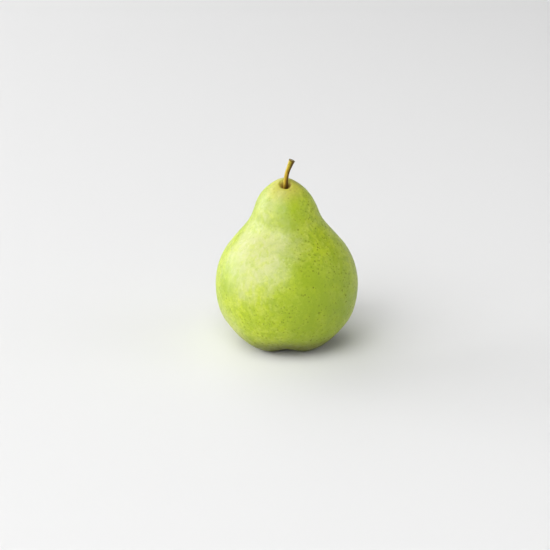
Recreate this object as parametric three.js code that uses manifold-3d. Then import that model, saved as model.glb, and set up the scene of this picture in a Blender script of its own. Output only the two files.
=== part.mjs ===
// A fresh pear that stands upright on its base: the fruit in its skin, the woody stem and the dried calyx.
// Millimetres, +Z up. The origin is on the surface that the pear stands on, under the middle of the fruit.
// -Y is the front, the side that the neck leans to.

import * as THREE from 'three';
import { mergeVertices } from 'three/addons/utils/BufferGeometryUtils.js';
import Module from 'manifold-3d';

const wasm = await Module();
wasm.setup();

// ---- Driving sizes, in millimetres. Angles are in degrees until radians() turns them. ----

// One side of the upright fruit as [radius, height], from the middle of the calyx basin, down to the foot,
// round the belly, up the neck and into the stem cavity. The points steer a cubic B-spline.
const OUTLINE = [
  [0, 5.4], // floor of the calyx basin
  [3.6, 5.2],
  [7.6, 3.5],
  [10.6, 0.2],
  [14.4, -0.9], // foot
  [21.2, 1.8],
  [30.2, 8.4],
  [36.0, 18.8],
  [38.0, 31.8], // belly
  [36.4, 44.0],
  [30.6, 54.2],
  [23.4, 61.8],
  [17.8, 68.6], // neck
  [16.0, 75.6],
  [13.4, 81.4],
  [9.6, 86.0],
  [5.8, 89.2],
  [3.2, 90.4], // lip of the stem cavity
  [2.2, 88.4],
  [1.7, 86.2],
  [0, 85.9], // floor of the stem cavity
];
const RINGS_PER_SPAN = 3;
const SIDES = 72;
const LIP_HEIGHT = 90;

const LEAN_FROM = 54; // height where the neck starts to lean
const LEAN_TILT = 21; // tilt of the stem cavity
const LEAN_TOWARDS = -89; // direction of the lean, from +X towards +Y
const SWAY = -0.8; // how far the neck stands to the right of the belly

const LOBES = 5; // low swellings round the calyx basin, which the pear stands on
const LOBE_FURROW = 2.3; // depth of the furrows between them
const LOBE_TOP = 20; // height where the furrows have faded out
const LOBE_START = -90; // direction of the first furrow
const FOOT_RADIUS = 12;
const EYE_RADIUS = 3; // the basin is round inside this radius
const FOOT_PRESS = 0.35; // how much the standing surface flattens the lobes

const BELLY_RIDGES = 0.5; // height of the three soft ridges that run up the belly and neck
const RIDGE_START = -94; // direction of the first ridge
const BELLY_OVAL = 0.25; // how far the belly is from round
const CROWN_FOLDS = 0.5; // height of the three uneven folds round the stem cavity
const FOLD_START = 100; // direction of the highest fold

const STEM_ROOT = 3.2; // length of stem inside the flesh
const STEM_REACH = [3.3, -1.4, 16.4]; // from the cavity floor to the middle of the cut end
const STEM_BASE_PULL = 11; // how far the stem keeps the direction that it leaves the cavity in
const STEM_TIP_PULL = [-3.2, -0.4, -7.2]; // from the cut end, along which the stem arrives there
const STEM_RADIUS = 0.95;
const STEM_BASE_SWELLING = 0.25;
const STEM_TIP_SWELLING = 0.42;
const STEM_TIP_DISH = 0.35; // depth of the hollow in the cut end
const STEM_SIDES = 16;
const STEM_RINGS = 24;

const CALYX_RADIUS = 2.3; // the cup that carries the sepals
const CALYX_ROOT = 2.4; // length of the cup inside the flesh
const CALYX_RISE = 0.9; // how far its rim stands out
const CALYX_WALL = 0.9;
const SEPALS = 5;
const SEPAL_REACH = [2.9, 2.8]; // outwards and away from the fruit
const SEPAL_WIDTH = 2.4;
const SEPAL_THICKNESS = 0.7;
const STAMENS = 11;
const STAMEN_LENGTH = 2.3;
const STAMEN_RADIUS = 0.32;

const GAP = 0.3; // free space between neighbouring solids

const radians = THREE.MathUtils.degToRad;

// ---- Colours and finishes ----

const skinMaterial = new THREE.MeshStandardMaterial({ color: 0xb8cb4c, roughness: 0.42, metalness: 0 });
const stemMaterial = new THREE.MeshStandardMaterial({ color: 0x8a6420, roughness: 0.7, metalness: 0 });
const calyxMaterial = new THREE.MeshStandardMaterial({ color: 0x3d2b1c, roughness: 0.9, metalness: 0 });

// ---- Helpers ----

// 0 below 0, 1 above 1, and an even S between.
function ease(x) {
  return THREE.MathUtils.smoothstep(x, 0, 1);
}

// A closed mesh over rings of points, with a point at each end. Seen from the end, the rings run anticlockwise.
function closedSkin(start, rings, end) {
  const sides = rings[0].length;
  const points = [start, ...rings.flat(), end];
  const last = points.length - 1;
  const at = (ring, side) => 1 + ring * sides + (side % sides);
  const faces = [];
  for (let side = 0; side < sides; side++) {
    faces.push(0, at(0, side + 1), at(0, side));
    for (let ring = 0; ring < rings.length - 1; ring++) {
      faces.push(at(ring, side), at(ring, side + 1), at(ring + 1, side + 1));
      faces.push(at(ring, side), at(ring + 1, side + 1), at(ring + 1, side));
    }
    faces.push(last, at(rings.length - 1, side), at(rings.length - 1, side + 1));
  }
  return new THREE.BufferGeometry().setFromPoints(points).setIndex(faces);
}

// A rod along a curve. At a share of its length, size(share) gives its half width and its half depth. Its width
// lies along the direction across. A bulge moves the middle of an end outwards.
function rodAlong(curve, { from = 0, to = 1, steps, sides, across, size, startBulge = 0, endBulge = 0 }) {
  const rings = [];
  for (let step = 0; step <= steps; step++) {
    const share = from + ((to - from) * step) / steps;
    const centre = curve.getPoint(share);
    const along = curve.getTangent(share);
    const wide = across.clone().addScaledVector(along, -across.dot(along)).normalize();
    const deep = along.clone().cross(wide);
    const [halfWidth, halfDepth] = size(share);
    rings.push(Array.from({ length: sides }, (_, side) => {
      const angle = (2 * Math.PI * side) / sides;
      return centre.clone()
        .addScaledVector(wide, halfWidth * Math.cos(angle))
        .addScaledVector(deep, halfDepth * Math.sin(angle));
    }));
  }
  const start = curve.getPoint(from).addScaledVector(curve.getTangent(from), -startBulge);
  const end = curve.getPoint(to).addScaledVector(curve.getTangent(to), endBulge);
  return closedSkin(start, rings, end);
}

// A turned form round Z from [radius, height] points, the first and last of them on the axis.
function turned(profile, sides) {
  const points = profile.map(([radius, height]) => new THREE.Vector2(radius, height));
  return new THREE.LatheGeometry(points, sides).rotateX(Math.PI / 2);
}

function toSolid(geometry) {
  geometry.deleteAttribute('normal');
  geometry.deleteAttribute('uv');
  const merged = mergeVertices(geometry, 1e-4);
  return new wasm.Manifold(new wasm.Mesh({
    numProp: 3,
    vertProperties: new Float32Array(merged.attributes.position.array),
    triVerts: new Uint32Array(merged.index.array),
  }));
}

function namedMesh(name, solid, material) {
  const made = solid.getMesh();
  const geometry = new THREE.BufferGeometry();
  geometry.setAttribute('position', new THREE.BufferAttribute(made.vertProperties, 3));
  geometry.setIndex(new THREE.BufferAttribute(made.triVerts, 1));
  geometry.computeVertexNormals();
  const mesh = new THREE.Mesh(geometry, material);
  mesh.name = name;
  return mesh;
}

// ---- The fruit's form ----

// Weights of four neighbouring steering points at t from 0 to 1 in a span, and those of the slope there.
const placeWeights = (t) => [
  (1 - t) ** 3 / 6,
  (3 * t ** 3 - 6 * t ** 2 + 4) / 6,
  (-3 * t ** 3 + 3 * t ** 2 + 3 * t + 1) / 6,
  t ** 3 / 6,
];
const slopeWeights = (t) => [
  -((1 - t) ** 2) / 2,
  (3 * t ** 2 - 4 * t) / 2,
  (-3 * t ** 2 + 2 * t + 1) / 2,
  t ** 2 / 2,
];

const SPANS = OUTLINE.length - 1;

// Past either end the outline goes on as its own mirror image, which makes both poles smooth.
function steeringPoint(index) {
  const inside = SPANS - Math.abs(SPANS - Math.abs(index));
  const [radius, height] = OUTLINE[inside];
  return [inside === index ? radius : -radius, height];
}

// Radius, height and outward normal at a place along the outline, counted in spans.
function outlineAt(place) {
  const span = Math.min(Math.floor(place), SPANS - 1);
  const steering = [-1, 0, 1, 2].map((step) => steeringPoint(span + step));
  const mix = (weights, axis) => weights.reduce((sum, weight, i) => sum + weight * steering[i][axis], 0);
  const weights = placeWeights(place - span);
  const slopes = slopeWeights(place - span);
  const [radius, height] = [mix(weights, 0), mix(weights, 1)];
  const [outwards, upwards] = [mix(slopes, 0), mix(slopes, 1)];
  const length = Math.hypot(outwards, upwards);
  return { radius, height, normal: [upwards / length, -outwards / length] };
}

// How far the skin stands out from the outline in a direction.
function relief(radius, height, angle) {
  const nearFoot = ease(1 - height / LOBE_TOP) * ease((radius - EYE_RADIUS) / (FOOT_RADIUS - EYE_RADIUS));
  const lobeTurn = LOBES * (angle - radians(LOBE_START)) + 0.4 * Math.sin(2 * angle);
  const furrows = LOBE_FURROW * nearFoot * (0.5 + 0.5 * Math.cos(lobeTurn)) ** 1.5;

  const onBelly = ease(height / 25) * ease((LIP_HEIGHT - height) / 20);
  const ridgeTurn = angle - radians(RIDGE_START);
  const ridges = BELLY_RIDGES * onBelly * (Math.cos(3 * ridgeTurn) - Math.cos(ridgeTurn));
  const oval = BELLY_OVAL * onBelly * Math.cos(2 * angle + 1.1);

  const nearCrown = ease((height - LIP_HEIGHT + 14) / 12) * ease((radius - 3) / 5);
  const foldTurn = angle - radians(FOLD_START);
  const folds = CROWN_FOLDS * nearCrown * (0.5 * Math.cos(3 * foldTurn) + 0.5 * Math.cos(foldTurn + 0.7));
  return ridges + oval + folds - furrows;
}

const leanDirection = new THREE.Vector3(Math.cos(radians(LEAN_TOWARDS)), Math.sin(radians(LEAN_TOWARDS)), 0);
const leanAxis = new THREE.Vector3(0, 0, 1).cross(leanDirection);
const LEAN_LENGTH = OUTLINE.at(-1)[1] - LEAN_FROM;

// Carries a point of the upright fruit along with the lean of the neck. The tilt grows with the square of the
// height above LEAN_FROM. The shift and the drop of the section's middle follow from it.
function leaned(x, y, height) {
  const share = Math.max(0, (height - LEAN_FROM) / LEAN_LENGTH);
  const full = radians(LEAN_TILT);
  const shift = (full * LEAN_LENGTH * share ** 3) / 3;
  const drop = (full ** 2 * LEAN_LENGTH * share ** 5) / 10;
  return new THREE.Vector3(x, y, 0)
    .applyAxisAngle(leanAxis, full * share ** 2)
    .addScaledVector(leanDirection, shift)
    .add(new THREE.Vector3(SWAY * ease(share), 0, height - drop));
}

function skinPoint(place, angle) {
  const { radius, height, normal } = outlineAt(place);
  const out = relief(radius, height, angle);
  const reach = radius + out * normal[0];
  const point = leaned(reach * Math.cos(angle), reach * Math.sin(angle), height + out * normal[1]);
  point.z = Math.max(point.z - FOOT_PRESS, 0);
  return point;
}

function fruitSkin() {
  const rings = [];
  for (let step = 1; step < SPANS * RINGS_PER_SPAN; step++) {
    rings.push(Array.from({ length: SIDES }, (_, side) => (
      skinPoint(step / RINGS_PER_SPAN, (2 * Math.PI * side) / SIDES)
    )));
  }
  return closedSkin(skinPoint(0, 0), rings, skinPoint(SPANS, 0));
}

// ---- The stem ----

const cavityFloor = skinPoint(SPANS, 0);
const cavityAxis = new THREE.Vector3(0, 0, 1).applyAxisAngle(leanAxis, radians(LEAN_TILT));
const stemTip = cavityFloor.clone().add(new THREE.Vector3(...STEM_REACH));
const stemPath = new THREE.CubicBezierCurve3(
  cavityFloor.clone().addScaledVector(cavityAxis, -STEM_ROOT),
  cavityFloor.clone().addScaledVector(cavityAxis, STEM_BASE_PULL - STEM_ROOT),
  stemTip.clone().add(new THREE.Vector3(...STEM_TIP_PULL)),
  stemTip,
);

function stemRadius(share) {
  return STEM_RADIUS + STEM_BASE_SWELLING * (1 - share) ** 3 + STEM_TIP_SWELLING * share ** 8;
}

function stemRod(to, margin, endBulge) {
  return rodAlong(stemPath, {
    to,
    steps: STEM_RINGS,
    sides: STEM_SIDES,
    across: new THREE.Vector3(1, 0, 0),
    size: (share) => [stemRadius(share) + margin, stemRadius(share) + margin],
    startBulge: margin,
    endBulge,
  });
}

// ---- The calyx, made with its opening upwards and then turned over into the basin ----

const basinFloor = skinPoint(0, 0);

function calyxCup(margin) {
  return turned([
    [0, -CALYX_ROOT - margin],
    [CALYX_RADIUS * 0.7 + margin, -CALYX_ROOT - margin],
    [CALYX_RADIUS + margin, -CALYX_ROOT * 0.5],
    [CALYX_RADIUS + margin, CALYX_RISE],
    [CALYX_RADIUS - CALYX_WALL, CALYX_RISE],
    [CALYX_RADIUS - CALYX_WALL - 0.3, 0],
    [0, -0.2],
  ], 20);
}

function sepal(index) {
  const angle = (2 * Math.PI * index) / SEPALS + 0.35;
  const outwards = new THREE.Vector3(Math.cos(angle), Math.sin(angle), 0);
  const up = new THREE.Vector3(0, 0, 1);
  const root = outwards.clone().multiplyScalar(CALYX_RADIUS - 0.5).addScaledVector(up, CALYX_RISE - 0.5);
  const droop = 0.5 * Math.sin(2.4 * index + 1);
  const path = new THREE.CubicBezierCurve3(
    root,
    root.clone().addScaledVector(up, SEPAL_REACH[1] * 0.6),
    root.clone().addScaledVector(up, SEPAL_REACH[1]).addScaledVector(outwards, SEPAL_REACH[0] * 0.35),
    root.clone().addScaledVector(up, SEPAL_REACH[1] * 0.85 - droop).addScaledVector(outwards, SEPAL_REACH[0]),
  );
  return rodAlong(path, {
    steps: 8,
    sides: 12,
    across: up.clone().cross(outwards),
    size: (share) => [
      Math.max(0.3, (SEPAL_WIDTH / 2) * (1 - share ** 1.6)),
      (SEPAL_THICKNESS / 2) * (1 - 0.15 * share),
    ],
    endBulge: 0.3,
  });
}

function stamen(index) {
  const angle = 2.4 * index;
  const outwards = new THREE.Vector3(Math.cos(angle), Math.sin(angle), 0);
  const spread = 0.35 + 0.45 * Math.sqrt((index + 0.5) / STAMENS);
  const root = outwards.clone().multiplyScalar(spread).add(new THREE.Vector3(0, 0, -0.5));
  const lean = 0.7 * spread + 0.25 * Math.sin(3.1 * index);
  const height = STAMEN_LENGTH * (0.85 + 0.15 * Math.cos(1.7 * index)) + 0.5;
  const tip = root.clone().addScaledVector(outwards, lean).add(new THREE.Vector3(0, 0, height));
  return rodAlong(new THREE.LineCurve3(root, tip), {
    steps: 6,
    sides: 8,
    across: new THREE.Vector3(outwards.y, -outwards.x, 0),
    size: (share) => {
      const radius = STAMEN_RADIUS + 0.14 * ease((share - 0.75) / 0.1);
      return [radius, radius];
    },
    endBulge: 0.3,
  });
}

function calyxSolid() {
  const pieces = [calyxCup(0)];
  for (let index = 0; index < SEPALS; index++) pieces.push(sepal(index));
  for (let index = 0; index < STAMENS; index++) pieces.push(stamen(index));
  return wasm.Manifold.union(pieces.map(toSolid));
}

function intoBasin(solid) {
  return solid.rotate([180, 0, 0]).translate([0, 0, basinFloor.z]);
}

// ---- The pear ----

const fruitSolid = toSolid(fruitSkin())
  .subtract(toSolid(stemRod(0.5, GAP, 0)))
  .subtract(intoBasin(toSolid(turned([
    [0, -CALYX_ROOT - GAP],
    [CALYX_RADIUS + GAP, -CALYX_ROOT - GAP],
    [CALYX_RADIUS + GAP, CALYX_RISE],
    [0, CALYX_RISE],
  ], 20))));

const pear = new THREE.Group();
pear.name = 'pear';
pear.add(namedMesh('fruit', fruitSolid, skinMaterial));
pear.add(namedMesh('stem', toSolid(stemRod(1, 0, -STEM_TIP_DISH)), stemMaterial));
pear.add(namedMesh('calyx', intoBasin(calyxSolid()), calyxMaterial));
export default pear;
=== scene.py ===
"""A fresh green pear that stands upright, finished for rendering. Metres, +Z up."""

import math

import bpy
import numpy as np
from bpy.props import FloatProperty, FloatVectorProperty, IntProperty, PointerProperty
from mathutils import Matrix, Vector


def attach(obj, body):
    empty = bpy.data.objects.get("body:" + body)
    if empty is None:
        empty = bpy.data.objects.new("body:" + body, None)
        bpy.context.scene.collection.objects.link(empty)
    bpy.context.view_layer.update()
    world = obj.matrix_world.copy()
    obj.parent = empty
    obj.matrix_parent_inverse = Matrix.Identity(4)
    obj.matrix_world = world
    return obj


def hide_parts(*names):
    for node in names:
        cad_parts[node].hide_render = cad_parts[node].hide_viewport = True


bl_info = {
    "name": "Pear",
    "version": (1, 0, 0),
    "blender": (4, 5, 0),
    "location": "View3D > Sidebar > Pear",
    "description": "Grows a green pear with its stem and calyx, and sets up a plain studio",
    "category": "Object",
}

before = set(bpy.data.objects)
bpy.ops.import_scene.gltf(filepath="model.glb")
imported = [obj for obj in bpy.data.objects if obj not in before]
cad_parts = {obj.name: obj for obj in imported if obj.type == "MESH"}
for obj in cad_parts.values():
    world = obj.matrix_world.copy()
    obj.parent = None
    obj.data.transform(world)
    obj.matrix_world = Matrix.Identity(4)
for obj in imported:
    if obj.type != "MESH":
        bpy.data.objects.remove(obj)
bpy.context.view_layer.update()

MM = 0.001

# ---- The pear's form, as the CAD part has it. Millimetres and degrees. ----

# One side of the upright fruit as (radius, height), from the calyx basin round to the stem cavity.
OUTLINE = (
    (0, 5.4), (3.6, 5.2), (7.6, 3.5), (10.6, 0.2), (14.4, -0.9), (21.2, 1.8), (30.2, 8.4),
    (36.0, 18.8), (38.0, 31.8), (36.4, 44.0), (30.6, 54.2), (23.4, 61.8), (17.8, 68.6),
    (16.0, 75.6), (13.4, 81.4), (9.6, 86.0), (5.8, 89.2), (3.2, 90.4), (2.2, 88.4),
    (1.7, 86.2), (0, 85.9),
)
SPANS = len(OUTLINE) - 1
BELLY_RADIUS = max(radius for radius, _ in OUTLINE)
LIP_HEIGHT = 90.0
LEAN_FROM = 54.0
LEAN_LENGTH = OUTLINE[-1][1] - LEAN_FROM
LEAN_TOWARDS = math.radians(-89)
SWAY = -0.8
LOBES = 5
LOBE_TOP = 20.0
LOBE_START = math.radians(-90)
LOBE_UNEVEN = 0.4  # how far the lobes stray from even spacing
FOOT_RADIUS = 12.0
EYE_RADIUS = 3.0
FOOT_PRESS = 0.35
RIDGE_START = math.radians(-94)
BELLY_OVAL = 0.25
OVAL_TURN = 1.1
BELLY_FROM = 25.0  # height where the ridges and the oval are full
BELLY_FADE = 20.0  # height below the lip over which they fade out
CROWN_FOLDS = 0.5
FOLD_START = math.radians(100)
FOLD_WAVE = 0.7  # turn between the three folds and the one broad swelling
FOLDS_BELOW_LIP = 14.0
FOLDS_RISE = 12.0  # height over which the folds grow
FOLDS_CLEAR = 3.0  # radius inside which there are none
FOLDS_SPREAD = 5.0  # width over which they grow outwards

STEM_ROOT = 3.2
STEM_REACH = (3.3, -1.4, 16.4)
STEM_BASE_PULL = 11.0
STEM_TIP_PULL = (-3.2, -0.4, -7.2)
STEM_BASE_SWELLING = 0.25
STEM_TIP_SWELLING = 0.42

CALYX_RADIUS = 2.3
CALYX_ROOT = 2.4
CALYX_RISE = 0.9
CALYX_WALL = 0.9
SEPAL_TURN = 0.35
CUP_CREASES = 0.12
SEPAL_CREASES = 0.1
STAMEN_CREASES = 0.03
TUFT_SPREAD = 1.05
TUFT_LEAN = 0.5  # sideways share of an outer stamen's direction


# ---- Settings ----


def length(name, description, default, high=1.0):
    """A setting in metres."""
    return FloatProperty(
        name=name, description=description, default=default, min=0.0, max=high,
        unit="LENGTH", subtype="DISTANCE", precision=5,
    )


def amount(name, description, default):
    """A setting that is a plain number."""
    return FloatProperty(name=name, description=description, default=default)


def colour(name, description, default):
    """A setting that holds a linear colour."""
    return FloatVectorProperty(
        name=name, description=description, default=default, min=0.0, max=1.0,
        subtype="COLOR", size=3,
    )


class PearFruitSettings(bpy.types.PropertyGroup):
    lean: FloatProperty(
        name="Lean", description="Tilt of the stem cavity", default=math.radians(21),
        min=0.0, max=1.0, subtype="ANGLE",
    )
    furrow: length("Furrows", "Depth of the furrows round the calyx basin", 2.3 * MM)
    ridge: length("Ridges", "Height of the soft ridges up the belly", 0.5 * MM)
    mesh_step: length("Mesh step", "Rough distance between neighbouring points", 0.85 * MM)
    swelling_height: length("Swellings", "Height of the wide uneven swellings", 0.28 * MM)
    swelling_size: length("Swelling size", "Width of the uneven swellings", 16 * MM)
    dimple_height: length("Dimples", "Height of the small dimples", 0.075 * MM)
    dimple_size: length("Dimple size", "Width of the small dimples", 3.6 * MM)
    dot_spacing: length("Dot spacing", "Rough distance between neighbouring skin dots", 2.05 * MM)
    ground: colour("Ground", "Yellow-green of the ripe skin", (0.45, 0.54, 0.013))
    green: colour("Green", "Deeper green of the unripe patches", (0.265, 0.37, 0.005))
    # Painted shade: the underside is coloured darker where it lies in shade, and darker still round
    # the feet.
    shaded_under: colour("Underside", "Olive green of the shaded underside", (0.155, 0.165, 0.002))
    deep: colour("Deep underside", "Dark olive round the feet", (0.07, 0.075, 0.001))
    # Also paints the sheen on the lit shoulder.
    cheek_and_sheen: colour("Cheek", "Cream of the pale cheek", (0.50, 0.51, 0.24))
    pale: colour("Pale", "Cream of the palest mottles", (0.56, 0.61, 0.08))
    dot: colour("Dots", "Olive of the skin dots", (0.155, 0.18, 0.003))
    tan: colour("Tan", "Yellow-brown skin round the stem and the calyx", (0.55, 0.44, 0.10))
    russet: colour("Russet", "Brown of the cavity's inside", (0.52, 0.31, 0.06))
    # Also paints the brushed marks in that sheen.
    scuff_and_sheen: colour("Scuffs", "Cream of the thin marks on the cheek", (0.62, 0.61, 0.36))


class PearStemSettings(bpy.types.PropertyGroup):
    radius: length("Radius", "Radius at the thinnest place", 1.15 * MM)
    ridge_depth: length("Ridges", "Depth of the lengthwise ridges", 0.12 * MM)
    bark_height: length("Bark", "Height of the bark's small bumps", 0.06 * MM)
    bark: colour("Bark", "Ochre of the bark", (0.42, 0.265, 0.010))
    # Painted highlight down the lit side of the stem.
    highlight_gold: colour("Gold", "Pale gold of the bark on one side", (0.60, 0.46, 0.06))
    olive: colour("Olive", "Green-yellow bark near the cut end", (0.33, 0.27, 0.012))
    # The dark brown also paints shade on the stem's far side and at its foot.
    dark: colour("Dark", "Dark brown of the foot, furrows and rim", (0.075, 0.035, 0.003))
    cut: colour("Cut end", "Pale wood of the cut end", (0.50, 0.40, 0.20))


class PearCalyxSettings(bpy.types.PropertyGroup):
    sepals: IntProperty(name="Sepals", description="Number of sepals", default=5, min=1, max=9)
    sepal_width: length("Sepal width", "Width of a sepal near its foot", 2.4 * MM)
    sepal_thickness: length("Sepal thickness", "Thickness of a sepal", 0.6 * MM)
    stamens: IntProperty(
        name="Stamens", description="Number of stamens", default=20, min=0, max=60
    )
    stamen_length: length("Stamen length", "Length of a stamen", 2.7 * MM)
    dry: colour("Dry", "Grey-brown of the dry tips", (0.17, 0.11, 0.06))
    dark: colour("Dark", "Dark brown of the feet", (0.035, 0.02, 0.011))


class PearStudioSettings(bpy.types.PropertyGroup):
    floor: colour("Floor", "Colour of the floor", (0.75, 0.75, 0.75))
    sky: amount("Sky", "Brightness of the air overhead", 0.1)
    horizon: amount("Horizon", "Brightness of the air low down", 0.75)
    key: amount("Key", "Brightness of the light on the left", 3.5)
    front: amount("Front", "Brightness of the light in front", 1.35)
    side: amount("Side", "Brightness of the light behind on the left", 4.25)
    top: amount("Top", "Brightness of the light overhead", 2.7)
    back: amount("Back", "Brightness of the light behind", 1.8)
    fill: amount("Fill", "Brightness of the light on the right", 1.1)
    lens: FloatProperty(name="Lens", description="Focal length", default=99.74, unit="CAMERA")
    distance: length("Distance", "From the camera to the pear", 0.8, high=10.0)
    elevation: FloatProperty(
        name="Elevation", description="Angle of the camera above the horizon",
        default=math.radians(20), subtype="ANGLE",
    )


# ---- The pear's form ----


def ease(x):
    """0 below 0, 1 above 1, and an even S between."""
    x = np.clip(x, 0.0, 1.0)
    return x * x * (3.0 - 2.0 * x)


def steering_point(index):
    """A point of the outline. Past either end the outline goes on as its own mirror image."""
    inside = SPANS - abs(SPANS - abs(index))
    radius, height = OUTLINE[inside]
    return (radius if inside == index else -radius, height)


def outline_at(places):
    """Radius, height and outward normal at places along the outline, counted in spans."""
    places = np.asarray(places, dtype=float)
    spans = np.minimum(np.floor(places), SPANS - 1).astype(int)
    t = places - spans
    steering = np.array([[steering_point(s + step) for step in (-1, 0, 1, 2)] for s in spans])
    weights = np.stack([
        (1 - t) ** 3 / 6,
        (3 * t**3 - 6 * t**2 + 4) / 6,
        (-3 * t**3 + 3 * t**2 + 3 * t + 1) / 6,
        t**3 / 6,
    ])
    slopes = np.stack([
        -((1 - t) ** 2) / 2,
        (3 * t**2 - 4 * t) / 2,
        (-3 * t**2 + 2 * t + 1) / 2,
        t**2 / 2,
    ])
    radius, height = np.einsum("kn,nkc->cn", weights, steering)
    outwards, upwards = np.einsum("kn,nkc->cn", slopes, steering)
    size = np.hypot(outwards, upwards)
    return radius, height, upwards / size, -outwards / size


def relief(radius, height, angle, settings):
    """How far the skin stands out from the outline in a direction."""
    near_foot = ease(1 - height / LOBE_TOP)
    near_foot = near_foot * ease((radius - EYE_RADIUS) / (FOOT_RADIUS - EYE_RADIUS))
    lobe_turn = LOBES * (angle - LOBE_START) + LOBE_UNEVEN * np.sin(2 * angle)
    furrows = settings.furrow / MM * near_foot * (0.5 + 0.5 * np.cos(lobe_turn)) ** 1.5

    on_belly = ease(height / BELLY_FROM) * ease((LIP_HEIGHT - height) / BELLY_FADE)
    ridge_turn = angle - RIDGE_START
    ridges = settings.ridge / MM * on_belly * (np.cos(3 * ridge_turn) - np.cos(ridge_turn))
    oval = BELLY_OVAL * on_belly * np.cos(2 * angle + OVAL_TURN)

    near_crown = ease((height - LIP_HEIGHT + FOLDS_BELOW_LIP) / FOLDS_RISE)
    near_crown = near_crown * ease((radius - FOLDS_CLEAR) / FOLDS_SPREAD)
    fold_turn = angle - FOLD_START
    waves = 0.5 * np.cos(3 * fold_turn) + 0.5 * np.cos(fold_turn + FOLD_WAVE)
    folds = CROWN_FOLDS * near_crown * waves
    return ridges + oval + folds - furrows


def skin_points(places, angles, settings):
    """Points of the skin as an array of places by angles by three, in millimetres."""
    radius, height, out_x, out_z = (a[:, None] for a in outline_at(places))
    angle = np.asarray(angles, dtype=float)[None, :]
    out = relief(radius, height, angle, settings)
    reach = radius + out * out_x
    x, y = reach * np.cos(angle), reach * np.sin(angle)
    height = height + out * out_z

    share = np.maximum(0.0, (height - LEAN_FROM) / LEAN_LENGTH)
    tilt = settings.lean * share**2
    shift = settings.lean * LEAN_LENGTH * share**3 / 3
    drop = settings.lean**2 * LEAN_LENGTH * share**5 / 10
    to_x, to_y = math.cos(LEAN_TOWARDS), math.sin(LEAN_TOWARDS)
    along = x * to_x + y * to_y
    across = y * to_x - x * to_y
    leaned = along * np.cos(tilt) + shift
    point = np.stack([
        leaned * to_x - across * to_y + SWAY * ease(share),
        leaned * to_y + across * to_x,
        height - drop - along * np.sin(tilt),
    ], axis=-1)
    point[..., 2] = np.maximum(point[..., 2] - FOOT_PRESS, 0.0)
    return point


def distance_along(points):
    """Distance from the first of a row of points to each of them."""
    steps = np.linalg.norm(np.diff(points, axis=0), axis=1)
    return np.concatenate([[0.0], np.cumsum(steps)])


# ---- Meshes ----


def turns(sides):
    """Even angles once round."""
    return np.linspace(0, 2 * math.pi, sides, endpoint=False)


def closed_skin(name, start, rings, end, **fields):
    """A closed mesh over rings of points in millimetres, with a point at each end.

    Each field holds one number for the start, for every ring point and for the end.
    """
    count, sides = rings.shape[:2]
    points = np.concatenate([[start], rings.reshape(-1, 3), [end]]) * MM
    last = len(points) - 1
    ring, side = np.meshgrid(np.arange(count - 1), np.arange(sides), indexing="ij")
    after = (side + 1) % sides
    walls = np.stack([
        1 + ring * sides + side, 1 + ring * sides + after,
        1 + (ring + 1) * sides + after, 1 + (ring + 1) * sides + side,
    ], axis=-1).reshape(-1, 4)
    faces = [tuple(face) for face in walls.tolist()]
    top = 1 + (count - 1) * sides
    for s in range(sides):
        following = (s + 1) % sides
        faces.append((0, 1 + following, 1 + s))
        faces.append((last, top + s, top + following))
    mesh = bpy.data.meshes.new(name)
    mesh.from_pydata(points.tolist(), [], faces)
    for field, values in fields.items():
        attribute = mesh.attributes.new(field, "FLOAT", "POINT")
        attribute.data.foreach_set("value", np.asarray(values, dtype=np.float32).ravel())
    mesh.shade_smooth()
    mesh.update()
    return mesh


def bezier(points, shares):
    """Points and directions along a cubic Bezier curve."""
    p = np.asarray(points, dtype=float)
    t = np.asarray(shares, dtype=float)[:, None]
    place = (
        (1 - t) ** 3 * p[0] + 3 * (1 - t) ** 2 * t * p[1] + 3 * (1 - t) * t**2 * p[2]
        + t**3 * p[3]
    )
    slope = (
        3 * (1 - t) ** 2 * (p[1] - p[0]) + 6 * (1 - t) * t * (p[2] - p[1])
        + 3 * t**2 * (p[3] - p[2])
    )
    return place, slope / np.linalg.norm(slope, axis=1, keepdims=True)


def rod_rings(place, along, across, half_width, half_depth, sides):
    """Rings of points round a path. Their width lies along the direction across."""
    wide = across - along * (along @ across)[:, None]
    wide /= np.linalg.norm(wide, axis=1, keepdims=True)
    deep = np.cross(along, wide)
    angle = turns(sides)[None, :, None]
    return (
        place[:, None, :]
        + wide[:, None, :] * np.cos(angle) * np.asarray(half_width)[:, None, None]
        + deep[:, None, :] * np.sin(angle) * np.asarray(half_depth)[:, None, None]
    )


def piece(name, mesh):
    """A new object that holds the mesh."""
    made = bpy.data.objects.new(name, mesh)
    bpy.context.scene.collection.objects.link(made)
    return made


# ---- Node trees ----


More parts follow.
